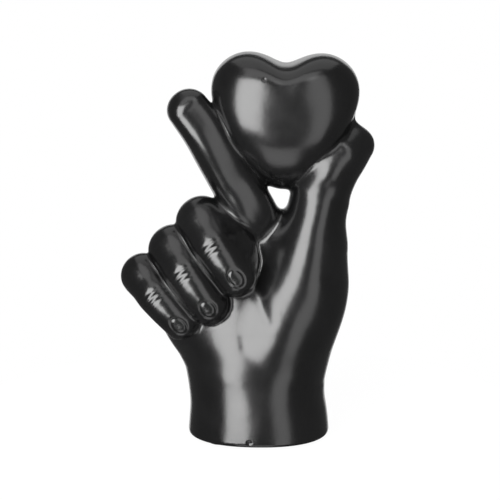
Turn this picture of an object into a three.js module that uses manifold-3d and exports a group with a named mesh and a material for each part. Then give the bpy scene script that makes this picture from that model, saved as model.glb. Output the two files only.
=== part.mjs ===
// A hollow glazed ceramic ornament: a hand stands on its wrist, curls three fingers onto its palm and holds
// a heart between forefinger and thumb. Wrist, palm and thumb are one hollow casting. The four fingers and
// the heart are castings of their own, luted on with a thin joint, and four felt discs sit under the foot.
// Millimetres, +Z up. The palm faces -Y and the thumb is on the +X side.

import * as THREE from 'three';
import { mergeVertices } from 'three/addons/utils/BufferGeometryUtils.js';
import Module from 'manifold-3d';

const wasm = await Module();
wasm.setup();

// Driving dimensions

const HAND_HEIGHT = 100;    // from the foot to the web beside the forefinger
const WALL = 5;             // cast wall of the hand
const HEART_WALL = 4.5;     // cast wall of the heart
const FOOT_WALL = 6;        // floor of the hollow wrist
const JOINT = 0.35;         // joint between two castings
const DRAIN_RADIUS = 6;     // hole in the floor that slip and steam leave by
const VENT_RADIUS = 1.6;    // hole from the hollow heart into the hollow thumb
const PAD_RADIUS = 6;
const PAD_THICKNESS = 1;
const PAD_GLUE = 0.3;       // between a felt disc and the foot
const PAD_INSET = 9;        // from the foot's edge to a disc's centre

// Half width and half depth of the foot, and how its edge is rounded, through roll degrees
const FOOT = { wide: 36.4, deep: 31.5, rounding: 3, roll: 60 };

// Where the wrist narrows: its half width and half depth as shares of the foot's, and its height
const WAIST = { wide: 0.9725, deep: 0.9206, height: 0.2 };

// The skeleton is in shares of the hand's height, and so is this, the height that the hollow reaches in it
const HOLLOW_TOP = 1.24;

// The heart's width, where its centre is on the hand, and the rest of it as shares of its width
const HEART = { width: 75.6, x: 0.134, y: -0.02, z: 1.66, lean: 1.5, thickness: 1.06, notch: 0.12 };
const LOBE = { spread: 0.245, rise: 0.19, radius: 0.255 };
const FLANK = { spread: 0.185, rise: -0.053, radius: 0.23 };
const POINT = { spread: 0.026, rise: -0.276, radius: 0.153 };
const SWELL = { spread: 0, rise: 0.093, radius: 0.24 };

// Each folded finger: its root in the hand and its knuckle, the lengths of its last two bones, its radii at
// root, knuckle, joint and tip, and how far the bones lean from the upright in degrees
const MIDDLE = { root: [-0.078, 0.11, 0.987], knuckle: [-0.299, -0.15, 1.156], bones: [0.189, 0.155],
  radii: [0.13, 0.102, 0.1, 0.094], lean: 33.5 };
const RING = { root: [-0.219, 0.11, 0.847], knuckle: [-0.443, -0.15, 1.014], bones: [0.186, 0.16],
  radii: [0.125, 0.099, 0.098, 0.091], lean: 34.5 };
const LITTLE = { root: [-0.366, 0.1, 0.709], knuckle: [-0.6, -0.13, 0.874], bones: [0.169, 0.152],
  radii: [0.115, 0.09, 0.09, 0.084], lean: 41 };
const BONE_DIPS = [17, 6.5];    // how far the two bones slope out of the palm's plane, in degrees
const TIP_TURN = 3;             // how much further the last bone leans than the one before it

// Nail of a folded finger, as shares of its tip's radius, and how far it stands proud
const NAIL = { wide: 0.6, long: 0.72, thick: 0.33, proud: 0.6 };

// How finely each casting is faceted
const HAND_CELL = 4.9;
const FINGER_CELL = 3.7;
const HEART_CELL = 4.6;
const HOLLOW_CELL = 7;
const SLIVER = 0.06;            // edges shorter than this are closed up

// Blends, as the width over which two limbs melt into one
const PALM_BLEND = 14;
const THUMB_BLEND = 9;
const FOLD_BLEND = 5;
const FOLD_FILL = 0.72;         // girth of the flesh inside a fold, as a share of the finger's

const STUMP = 4;                // how far the wrist runs on below the foot before it is trimmed
const HEADROOM = 260;           // clear of the top of the whole
const UP = new THREE.Vector3(0, 0, 1);
const DEPTHWARDS = new THREE.Vector3(0, 1, 0);

/** A station of a limb: where its centre is, its half width and its half depth. */
function station(x, y, z, wide, deep = wide) {
  return { at: new THREE.Vector3(x, y, z), wide, deep };
}

/** A station of the skeleton, in shares of the hand's height. */
function bone(x, y, z, wide, deep = wide) {
  return station(...[x, y, z, wide, deep].map((share) => share * HAND_HEIGHT));
}

/** Where the heart's centre is. */
function heartCentre() {
  return bone(HEART.x, HEART.y, HEART.z, 0).at;
}

/**
 * Signed distance to a limb: an oval section carried along a smooth curve through its stations. Its bounds
 * are the box that holds it.
 */
function limb(stations, steps = 5) {
  const spine = new THREE.CatmullRomCurve3(stations.map((s) => s.at));
  const girth = new THREE.CatmullRomCurve3(stations.map((s) => new THREE.Vector3(s.wide, s.deep, 0)));
  const count = (stations.length - 1) * steps;
  const points = Array.from({ length: count + 1 }, (_, i) => spine.getPoint(i / count));
  const radii = Array.from({ length: count + 1 }, (_, i) => girth.getPoint(i / count));
  const bounds = new THREE.Box3();
  points.forEach((p, i) => {
    const reach = Math.max(radii[i].x, radii[i].y);
    bounds.union(new THREE.Box3(p.clone().subScalar(reach), p.clone().addScalar(reach)));
  });
  const bones = points.slice(1).map((end, i) => {
    const start = points[i];
    const along = end.clone().sub(start);
    const run = along.length();
    along.normalize();
    const side = new THREE.Vector3().crossVectors(along, DEPTHWARDS).normalize();
    const deep = new THREE.Vector3().crossVectors(side, along);
    return { start, along, run, side, deep, r0: radii[i], r1: radii[i + 1] };
  });
  const distanceTo = (x, y, z) => {
    let nearest = Infinity;
    for (const { start, along, run, side, deep, r0, r1 } of bones) {
      const dx = x - start.x;
      const dy = y - start.y;
      const dz = z - start.z;
      const t = THREE.MathUtils.clamp(dx * along.x + dy * along.y + dz * along.z, 0, run);
      const share = t / run;
      const wx = dx - along.x * t;
      const wy = dy - along.y * t;
      const wz = dz - along.z * t;
      const wide = r0.x + (r1.x - r0.x) * share;
      const thick = r0.y + (r1.y - r0.y) * share;
      const beyond = (wx * along.x + wy * along.y + wz * along.z) / Math.min(wide, thick);
      const across = (wx * side.x + wy * side.y + wz * side.z) / wide;
      const down = (wx * deep.x + wy * deep.y + wz * deep.z) / thick;
      const reach = Math.hypot(across, down, beyond);
      const far = Math.hypot(wx, wy, wz);
      const distance = reach > 1e-6 ? far * (1 - 1 / reach) : -Math.min(wide, thick);
      nearest = Math.min(nearest, distance);
    }
    return nearest;
  };
  return Object.assign(distanceTo, { bounds });
}

/** The smaller of two distances, rounded where they are within width of each other. */
function soften(a, b, width) {
  if (a === Infinity) return b;
  const share = Math.max(width - Math.abs(a - b), 0) / width;
  return Math.min(a, b) - (share * share * width) / 4;
}

/** One field for several that melt into each other. */
function meld(fields, width) {
  const bounds = fields.reduce((all, each) => all.union(each.bounds), new THREE.Box3());
  bounds.expandByScalar(width / 2);
  const distanceTo = (x, y, z) => fields.reduce((all, each) => soften(all, each(x, y, z), width), Infinity);
  return Object.assign(distanceTo, { bounds });
}

/** Unit direction in which a field grows fastest at a point. */
function outward(field, x, y, z) {
  const e = 0.05;
  const slope = new THREE.Vector3(
    field(x + e, y, z) - field(x - e, y, z),
    field(x, y + e, z) - field(x, y - e, z),
    field(x, y, z + e) - field(x, y, z - e),
  );
  return slope.normalize();
}

/** A closed mesh as a solid for joining and cutting. */
function closed(vertProperties, triVerts) {
  return new wasm.Manifold(new wasm.Mesh({ numProp: 3, vertProperties, triVerts }));
}

/**
 * The closed surface where a field is zero, as a solid. A cube lattice finds each cell that the surface
 * crosses, one vertex is drawn onto the surface in each, and each crossed lattice edge gets a quad.
 * The surface is then grown outwards by grow, which makes the cutter for a joint.
 */
function skin(field, cell, grow = 0) {
  const low = field.bounds.min.toArray();
  const high = field.bounds.max.toArray();
  const size = [0, 1, 2].map((k) => Math.ceil((high[k] - low[k]) / cell) + 4);
  const place = (i, k) => low[k] + (i - 1.5) * cell;
  const stride = [1, size[0], size[0] * size[1]];
  const value = new Float64Array(size[0] * size[1] * size[2]);
  for (let k = 0, n = 0; k < size[2]; k++) {
    for (let j = 0; j < size[1]; j++) {
      for (let i = 0; i < size[0]; i++, n++) {
        value[n] = field(place(i, 0), place(j, 1), place(k, 2));
      }
    }
  }
  const vertexOf = new Int32Array(value.length).fill(-1);
  const vertices = [];
  const corners = [0, 1, 2, 3, 4, 5, 6, 7].map((c) => [c & 1, (c >> 1) & 1, (c >> 2) & 1]);
  const edges = [];
  corners.forEach((c, i) => corners.forEach((d, j) => {
    if (i < j && c.reduce((sum, v, k) => sum + Math.abs(v - d[k]), 0) === 1) edges.push([i, j]);
  }));
  for (let k = 0; k < size[2] - 1; k++) {
    for (let j = 0; j < size[1] - 1; j++) {
      for (let i = 0; i < size[0] - 1; i++) {
        const n = i + j * stride[1] + k * stride[2];
        const v = corners.map((c) => value[n + c[0] + c[1] * stride[1] + c[2] * stride[2]]);
        const inside = v.filter((d) => d < 0).length;
        if (inside === 0 || inside === 8) continue;
        const centre = [0, 0, 0];
        let crossings = 0;
        for (const [a, b] of edges) {
          if (v[a] < 0 === v[b] < 0) continue;
          const share = THREE.MathUtils.clamp(v[a] / (v[a] - v[b]), 0.2, 0.8);
          centre.forEach((_, m) => { centre[m] += corners[a][m] + (corners[b][m] - corners[a][m]) * share; });
          crossings++;
        }
        const p = new THREE.Vector3(...[i, j, k].map((c, m) => place(c + centre[m] / crossings, m)));
        for (let pass = 0; pass < 3; pass++) {
          const step = THREE.MathUtils.clamp(field(p.x, p.y, p.z), -cell / 3, cell / 3);
          p.addScaledVector(outward(field, p.x, p.y, p.z), -step);
        }
        if (grow) p.addScaledVector(outward(field, p.x, p.y, p.z), grow);
        vertexOf[n] = vertices.length / 3;
        vertices.push(p.x, p.y, p.z);
      }
    }
  }
  const triangles = [];
  for (let k = 1; k < size[2] - 1; k++) {
    for (let j = 1; j < size[1] - 1; j++) {
      for (let i = 1; i < size[0] - 1; i++) {
        const n = i + j * stride[1] + k * stride[2];
        for (let m = 0; m < 3; m++) {
          const starts = value[n] < 0;
          if (starts === value[n + stride[m]] < 0) continue;
          const u = stride[(m + 1) % 3];
          const w = stride[(m + 2) % 3];
          const quad = [n - u - w, n - w, n, n - u].map((c) => vertexOf[c]);
          if (!starts) quad.reverse();
          const [a, b, c, d] = quad;
          triangles.push(a, b, c, a, c, d);
        }
      }
    }
  }
  return closed(Float32Array.from(vertices), Uint32Array.from(triangles));
}

/** A three.js geometry, placed where it belongs, as a solid for joining and cutting. */
function solidOf(geometry) {
  const bare = geometry.clone();
  bare.deleteAttribute('normal');
  bare.deleteAttribute('uv');
  const { attributes, index } = mergeVertices(bare);
  const triangles = Array.from({ length: index.count / 3 }, (_, t) => index.array.slice(t * 3, t * 3 + 3));
  const sound = triangles.filter((corners) => new Set(corners).size === 3);
  return closed(attributes.position.array, Uint32Array.from(sound.flatMap((corners) => [...corners])));
}

/** The largest connected body of a solid, without the slivers that a cut leaves. */
function mainBody(solid) {
  return solid.decompose().sort((a, b) => b.volume() - a.volume())[0];
}

/**
 * The corners of the triangles that are left once every edge shorter than SLIVER is closed up. An edge
 * closes only where its two ends share just two neighbours, so that the surface stays one closed skin.
 */
function withoutSlivers(position, triangles) {
  const corners = Uint32Array.from(triangles);
  const fans = [];
  corners.forEach((v, i) => (fans[v] ??= new Set()).add(Math.floor(i / 3)));
  const cornersOf = (t) => corners.subarray(t * 3, t * 3 + 3);
  const around = (v) => new Set([...fans[v]].flatMap((t) => [...cornersOf(t)]));
  const apart = (a, b) => Math.hypot(...[0, 1, 2].map((k) => position[a * 3 + k] - position[b * 3 + k]));
  const gone = new Set();
  for (let i = 0; i < corners.length; i++) {
    const t = Math.floor(i / 3);
    const a = corners[i];
    const b = corners[t * 3 + ((i + 1) % 3)];
    if (gone.has(t) || apart(a, b) >= SLIVER) continue;
    const shared = [...around(a).intersection(around(b))].filter((v) => v !== a && v !== b);
    if (shared.length !== 2) continue;
    for (const other of [...fans[b]]) {
      const mine = cornersOf(other);
      if (mine.includes(a)) {
        mine.forEach((v) => fans[v].delete(other));
        gone.add(other);
      } else {
        mine[mine.indexOf(b)] = a;
        fans[a].add(other);
      }
    }
  }
  return corners.filter((_, i) => !gone.has(Math.floor(i / 3)));
}

/** A solid as a named mesh. */
function meshOf(name, solid, material) {
  const { vertProperties, triVerts } = solid.getMesh();
  const loose = new THREE.BufferGeometry();
  loose.setAttribute('position', new THREE.BufferAttribute(vertProperties, 3));
  loose.setIndex(new THREE.BufferAttribute(withoutSlivers(vertProperties, triVerts), 1));
  const geometry = mergeVertices(loose, 0);
  geometry.computeVertexNormals();
  const mesh = new THREE.Mesh(geometry, material);
  mesh.name = name;
  return mesh;
}

// Skeletons

/** The station where a folded finger leaves the hand. */
function rootOf({ root, radii }) {
  return bone(...root, radii[0]);
}

/** Wrist, palm, the back of the hand and the thumb. */
function handField() {
  const wrist = limb([
    station(0, 0, -3 * STUMP, FOOT.wide, FOOT.deep),
    station(0, 0, 0, FOOT.wide, FOOT.deep),
    station(0, 0, WAIST.height * HAND_HEIGHT, WAIST.wide * FOOT.wide, WAIST.deep * FOOT.deep),
    bone(0.026, 0, 0.4, 0.314, 0.27),
    bone(0.01, 0.01, 0.56, 0.31, 0.24),
  ]);
  const palm = limb([
    bone(-0.01, 0.02, 0.42, 0.31, 0.25),
    bone(-0.08, 0.04, 0.62, 0.324, 0.215),
    bone(-0.1, 0.06, 0.8, 0.3, 0.205),
    bone(-0.05, 0.06, 0.95, 0.21, 0.17),
  ]);
  const thumb = limb([
    bone(0.126, -0.01, 0.38, 0.194, 0.23),
    bone(0.2, -0.03, 0.58, 0.22, 0.23),
    bone(0.256, -0.04, 0.79, 0.213, 0.215),
    bone(0.276, -0.03, 1, 0.179, 0.185),
    bone(0.3, -0.03, 1.15, 0.158, 0.16),
    bone(0.33, -0.03, 1.285, 0.142, 0.145),
    besideHeart(0.343, 0, -0.351, 0.12, 0.124),
    besideHeart(0.426, 0.01, -0.245, 0.108, 0.11),
    besideHeart(0.477, 0.02, -0.18, 0.098, 0.1),
  ]);
  const heel = limb([
    bone(-0.125, 0, 0.34, 0.16, 0.22),
    bone(-0.196, 0, 0.48, 0.156, 0.2),
    bone(-0.33, 0.02, 0.61, 0.16, 0.17),
    bone(-0.4, 0.04, 0.72, 0.14, 0.14),
  ]);
  const web = limb([
    bone(0.28, -0.03, 1.01, 0.11),
    bone(0.13, -0.04, 1.03, 0.095),
    bone(0.01, -0.05, 0.92, 0.1),
  ]);
  const behind = [
    limb([bone(0.12, 0.06, 0.48, 0.14), bone(0.06, 0.08, 0.8, 0.13), bone(0.04, 0.09, 1.03, 0.12)]),
    limb([bone(0.02, 0.08, 0.48, 0.15), bone(-0.04, 0.1, 0.78, 0.14), rootOf(MIDDLE)]),
    limb([bone(-0.08, 0.08, 0.46, 0.15), bone(-0.16, 0.1, 0.68, 0.14), rootOf(RING)]),
    limb([bone(-0.16, 0.07, 0.42, 0.15), bone(-0.28, 0.09, 0.58, 0.13), rootOf(LITTLE)]),
  ];
  const body = meld([wrist, palm, heel, web, ...behind], PALM_BLEND);
  const bounds = body.bounds.clone().union(thumb.bounds).expandByScalar(THUMB_BLEND / 2);
  bounds.min.z = -STUMP;
  const distanceTo = (x, y, z) => (
    Math.max(soften(body(x, y, z), thumb(x, y, z), THUMB_BLEND), -STUMP - z)
  );
  return Object.assign(distanceTo, { bounds });
}

/**
 * A station held against the heart: across and rise are from the heart's centre and in shares of its width,
 * the rest is in shares of the hand's height.
 */
function besideHeart(across, depth, rise, wide, deep = wide) {
  const held = bone(HEART.x, HEART.y + depth, HEART.z, wide, deep);
  held.at.add(new THREE.Vector3(across, 0, rise).multiplyScalar(HEART.width));
  return held;
}

/** The straight forefinger, from its knuckle in the back of the hand to its tip beside the heart. */
function indexField() {
  return limb([
    bone(0.05, 0.1, 1, 0.115),
    bone(0.008, 0.02, 1.1, 0.12),
    bone(-0.046, -0.03, 1.208, 0.126),
    besideHeart(-0.353, -0.02, -0.397, 0.119),
    besideHeart(-0.455, -0.01, -0.221, 0.111),
    besideHeart(-0.548, -0.01, -0.07, 0.106),
    besideHeart(-0.631, 0, 0.058, 0.102),
  ]);
}

/** Where the bones of a folded finger meet: root, knuckle, joint and tip. */
function bonesOf({ root, knuckle, bones, lean }) {
  const [first, last] = bones.map((share) => share * HAND_HEIGHT);
  const turned = (degrees, dip) => {
    const [a, b] = [degrees, dip].map(THREE.MathUtils.degToRad);
    return new THREE.Vector3(Math.sin(a) * Math.cos(b), -Math.sin(b), -Math.cos(a) * Math.cos(b));
  };
  const bend = bone(...knuckle).at;
  const joint = bend.clone().addScaledVector(turned(lean, BONE_DIPS[0]), first);
  const tip = joint.clone().addScaledVector(turned(lean + TIP_TURN, BONE_DIPS[1]), last);
  return [bone(...root).at, bend, joint, tip];
}

/**
 * A finger folded onto the palm: out from its root to the knuckle, down from there to its tip, and the flesh
 * that is pressed together inside the fold.
 */
function foldedField(spec) {
  const stations = bonesOf(spec).map((at, i) => station(...at.toArray(), spec.radii[i] * HAND_HEIGHT));
  const pressed = [stations[0], stations[2]].map(({ at, wide }) => (
    station(...at.toArray(), wide * FOLD_FILL)
  ));
  return meld([limb(stations.slice(0, 2)), limb(stations.slice(1)), limb(pressed)], FOLD_BLEND);
}

/** The nail of a folded finger: a flat oval on the side of the tip that faces out of the palm. */
function nailOf(spec) {
  const [, , joint, tip] = bonesOf(spec);
  const radius = spec.radii.at(-1) * HAND_HEIGHT;
  const along = tip.clone().sub(joint).normalize();
  const out = DEPTHWARDS.clone().negate().projectOnPlane(along).normalize();
  const across = new THREE.Vector3().crossVectors(along, out);
  const oval = new THREE.SphereGeometry(1, 20, 12);
  oval.scale(NAIL.wide * radius, NAIL.long * radius, NAIL.thick * radius);
  oval.applyMatrix4(new THREE.Matrix4().makeBasis(across, along, out));
  const centre = tip.clone().addScaledVector(out, radius * (1 - NAIL.thick) + NAIL.proud);
  oval.translate(...centre.toArray());
  return solidOf(oval);
}

/** A full, rounded heart: two lobes and the swell between them, all run down into one point. */
function heartField() {
  const ball = ({ spread, rise, radius }, side) => station(
    side * spread * HEART.width,
    0,
    rise * HEART.width,
    radius * HEART.width,
    radius * HEART.width * HEART.thickness,
  );
  const half = (side) => limb([ball(LOBE, side), ball(FLANK, side), ball(POINT, side)]);
  const full = meld([half(-1), half(1), limb([ball(SWELL, 0), ball(POINT, 0)])], HEART.notch * HEART.width);
  const lean = THREE.MathUtils.degToRad(HEART.lean);
  const middle = heartCentre();
  const distanceTo = (x, y, z) => {
    const dx = x - middle.x;
    const dz = z - middle.z;
    return full(
      dx * Math.cos(lean) - dz * Math.sin(lean),
      y - middle.y,
      dx * Math.sin(lean) + dz * Math.cos(lean),
    );
  };
  const bounds = full.bounds.clone().translate(middle);
  bounds.expandByScalar(HEART.width * Math.sin(lean));
  return Object.assign(distanceTo, { bounds });
}

// Castings

const hand = handField();
const index = indexField();
const heart = heartField();
const handCutter = skin(hand, HAND_CELL, JOINT);
const heartCutter = skin(heart, HEART_CELL, JOINT);

/** The hollow inside the hand: a wall in from its skin, above its floor and below the thumb's slim end. */
function handHollow() {
  const top = HOLLOW_TOP * HAND_HEIGHT;
  const distanceTo = (x, y, z) => Math.max(hand(x, y, z) + WALL, FOOT_WALL - z, z - top);
  return skin(Object.assign(distanceTo, { bounds: hand.bounds }), HOLLOW_CELL);
}

/** The hollow inside the heart: a wall in from its skin. */
function heartHollow() {
  const distanceTo = (x, y, z) => heart(x, y, z) + HEART_WALL;
  return skin(Object.assign(distanceTo, { bounds: heart.bounds }), HOLLOW_CELL);
}

/** The rod that a vent is cut with, from the hollow of the heart into that of the thumb. */
function ventRod() {
  const from = besideHeart(0.1, 0, -0.13, 0).at;
  const to = bone(0.32, -0.03, HOLLOW_TOP, 0).at.setZ(HOLLOW_TOP * HAND_HEIGHT - WALL);
  const run = to.clone().sub(from);
  const rod = new THREE.CylinderGeometry(VENT_RADIUS, VENT_RADIUS, run.length(), 12);
  rod.rotateX(Math.PI / 2);
  rod.applyQuaternion(new THREE.Quaternion().setFromUnitVectors(UP, run.clone().normalize()));
  rod.translate(...from.clone().addScaledVector(run, 0.5).toArray());
  return solidOf(rod);
}

/** What the foot is trimmed to: flat underneath, rounded at the edge and flaring clear above it. */
function footCup() {
  const roll = THREE.MathUtils.degToRad(FOOT.roll);
  const rim = Array.from({ length: 6 }, (_, i) => {
    const turn = (i / 5) * roll;
    return [FOOT.wide - FOOT.rounding * (1 - Math.sin(turn)), FOOT.rounding * (1 - Math.cos(turn))];
  });
  const flare = [rim.at(-1)[0] + HEADROOM / Math.tan(roll), HEADROOM];
  const profile = [[0, 0], ...rim, flare, [0, HEADROOM]].map(([r, z]) => new THREE.Vector2(r, z));
  const cup = new THREE.LatheGeometry(profile, 64);
  cup.rotateX(Math.PI / 2);
  cup.scale(1, FOOT.deep / FOOT.wide, 1);
  return solidOf(cup);
}

/** Wrist, palm and thumb: a skin trimmed to its foot, with the heart's seat, a hollow and two holes. */
function handShell() {
  const drain = new THREE.CylinderGeometry(DRAIN_RADIUS, DRAIN_RADIUS, FOOT_WALL * 4, 32);
  drain.rotateX(Math.PI / 2);
  return mainBody(skin(hand, HAND_CELL)
    .intersect(footCup())
    .subtract(handHollow())
    .subtract(heartCutter)
    .subtract(solidOf(drain))
    .subtract(ventRod()));
}

/** The heart, hollow, with a vent into the thumb that carries it. */
function heartCasting() {
  return mainBody(skin(heart, HEART_CELL).subtract(heartHollow()).subtract(ventRod()));
}

/** The forefinger, trimmed where it leaves the hand and where the heart lies against it. */
function indexCasting() {
  return mainBody(skin(index, FINGER_CELL).subtract(handCutter.add(heartCutter)));
}

/** A folded finger with its nail, trimmed by the hand and by the finger next to it. */
function foldedCasting(spec, neighbour) {
  const cutter = handCutter.add(skin(neighbour, FINGER_CELL, JOINT));
  return mainBody(skin(foldedField(spec), FINGER_CELL).subtract(cutter).add(nailOf(spec)));
}

// Materials and assembly

const glaze = new THREE.MeshStandardMaterial({ color: 0x0b0b0c, roughness: 0.25, metalness: 0 });
const felt = new THREE.MeshStandardMaterial({ color: 0x1a1a1b, roughness: 0.95, metalness: 0 });

const castings = new THREE.Group();
castings.add(meshOf('hand_shell', handShell(), glaze));
castings.add(meshOf('heart', heartCasting(), glaze));
castings.add(meshOf('index_finger', indexCasting(), glaze));
castings.add(meshOf('middle_finger', foldedCasting(MIDDLE, index), glaze));
castings.add(meshOf('ring_finger', foldedCasting(RING, foldedField(MIDDLE)), glaze));
castings.add(meshOf('little_finger', foldedCasting(LITTLE, foldedField(RING)), glaze));
castings.position.z = PAD_THICKNESS + PAD_GLUE;

const pads = new THREE.Group();
const spots = { front_left: [-1, -1], front_right: [1, -1], back_left: [-1, 1], back_right: [1, 1] };
for (const [corner, [sideways, depth]] of Object.entries(spots)) {
  const disc = new THREE.CylinderGeometry(PAD_RADIUS, PAD_RADIUS, PAD_THICKNESS, 32);
  disc.rotateX(Math.PI / 2);
  const pad = new THREE.Mesh(disc, felt);
  pad.name = `felt_pad_${corner}`;
  pad.position.set(
    sideways * (FOOT.wide - PAD_INSET) * Math.SQRT1_2,
    depth * (FOOT.deep - PAD_INSET) * Math.SQRT1_2,
    PAD_THICKNESS / 2,
  );
  pads.add(pad);
}

// The origin is under the middle of the whole, seen from above, where it rests
const ornament = new THREE.Group();
ornament.add(castings, pads);
ornament.updateMatrixWorld(true);
const extent = new THREE.Box3().setFromObject(ornament);
const centre = extent.getCenter(new THREE.Vector3());
ornament.position.set(-centre.x, -centre.y, -extent.min.z);

export default ornament;
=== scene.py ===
"""Looks of a black glazed hand that holds a heart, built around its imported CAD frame.

Sizes in the classes are millimetres, measured from the middle of the hand's foot: x towards the thumb, y into
the picture, z up. Meshes are metres in the frame of the CAD.
"""

import logging
import math
from collections.abc import Callable, Iterable, Sequence
from dataclasses import dataclass
from enum import Enum

import bpy
import numpy as np
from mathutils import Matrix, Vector


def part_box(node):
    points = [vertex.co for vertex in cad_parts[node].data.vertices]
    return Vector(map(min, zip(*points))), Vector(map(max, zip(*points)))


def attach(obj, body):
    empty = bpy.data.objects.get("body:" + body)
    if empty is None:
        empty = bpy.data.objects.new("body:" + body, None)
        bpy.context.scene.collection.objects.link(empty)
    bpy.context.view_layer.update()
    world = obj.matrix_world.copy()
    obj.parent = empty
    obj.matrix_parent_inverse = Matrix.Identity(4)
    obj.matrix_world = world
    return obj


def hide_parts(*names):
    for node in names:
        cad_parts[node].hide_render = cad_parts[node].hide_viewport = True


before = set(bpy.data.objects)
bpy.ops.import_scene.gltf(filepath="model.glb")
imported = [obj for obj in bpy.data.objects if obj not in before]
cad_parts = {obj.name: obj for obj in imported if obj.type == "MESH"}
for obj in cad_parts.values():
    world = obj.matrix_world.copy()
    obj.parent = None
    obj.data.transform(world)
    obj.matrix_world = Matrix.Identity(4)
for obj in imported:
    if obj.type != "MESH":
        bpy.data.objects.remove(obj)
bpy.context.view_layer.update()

log = logging.getLogger("hand")

MM = 0.001
FIGURE_BODY = "root"
RELIEF_BAND = 3.0
WHITE = (1.0, 1.0, 1.0, 1.0)

Field = Callable[[np.ndarray], np.ndarray]
Station = tuple[float, ...]


class Corner(Enum):
    """Where a felt disc sits under the foot."""

    FRONT_LEFT = "front_left"
    FRONT_RIGHT = "front_right"
    BACK_LEFT = "back_left"
    BACK_RIGHT = "back_right"


class Axis(Enum):
    """The three directions of a lattice."""

    X = 0
    Y = 1
    Z = 2


def smooth_path(points: np.ndarray, steps: int) -> np.ndarray:
    """Carry a smooth curve through points.

    Centripetal Catmull-Rom: each span is a cubic in u from 0 to 1, with the slopes at its ends taken from the
    neighbouring points, weighted by the square roots of the distances between them.

    Args:
        points: One point per row, with any number of columns.
        steps: How many rows each span is divided into.

    Returns:
        The curve's points, one per row, both ends included.
    """
    ends = np.vstack([2 * points[0] - points[1], points, 2 * points[-1] - points[-2]])
    gaps = np.sum(np.diff(ends, axis=0) ** 2, axis=1, keepdims=True) ** 0.25
    before, here, after = gaps[:-2], gaps[1:-1], gaps[2:]
    here = np.where(here < 1e-4, 1.0, here)
    before = np.where(before < 1e-4, here, before)
    after = np.where(after < 1e-4, here, after)
    a, b, c, d = ends[:-3], ends[1:-2], ends[2:-1], ends[3:]
    start = ((b - a) / before - (c - a) / (before + here) + (c - b) / here) * here
    stop = ((c - b) / here - (d - b) / (here + after) + (d - c) / after) * here
    u = (np.arange(steps) / steps)[None, :, None]
    b, c, start, stop = (each[:, None, :] for each in (b, c, start, stop))
    spans = b + start * u + (3 * (c - b) - 2 * start - stop) * u**2 + (2 * (b - c) + start + stop) * u**3
    return np.vstack([spans.reshape(-1, points.shape[1]), points[-1]])


def soften(a: np.ndarray, b: np.ndarray, width: float) -> np.ndarray:
    """Join two fields: the smaller, less width/4 times the square of how near they are to each other."""
    share = np.clip(1 - np.abs(a - b) / width, 0, None)
    return np.minimum(a, b) - share * share * width / 4


def meld(values: Iterable[np.ndarray], width: float) -> np.ndarray:
    """Join any number of fields, one after the other, with soften.

    Args:
        values: The fields' values at the same points.
        width: How near two fields are where they begin to melt.

    Returns:
        The values of the whole.
    """
    first, *rest = values
    for value in rest:
        first = soften(first, value, width)
    return first


def hill(distance: np.ndarray, reach: float) -> np.ndarray:
    """A bell that is 1 at distance 0 and falls to 0.37 at reach."""
    return np.exp(-((distance / reach) ** 2))


def step_up(value: np.ndarray, low: float, high: float) -> np.ndarray:
    """Rise smoothly from 0 at low to 1 at high, as 3t squared less 2t cubed."""
    t = np.clip((value - low) / (high - low), 0, 1)
    return t * t * (3 - 2 * t)


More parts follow.
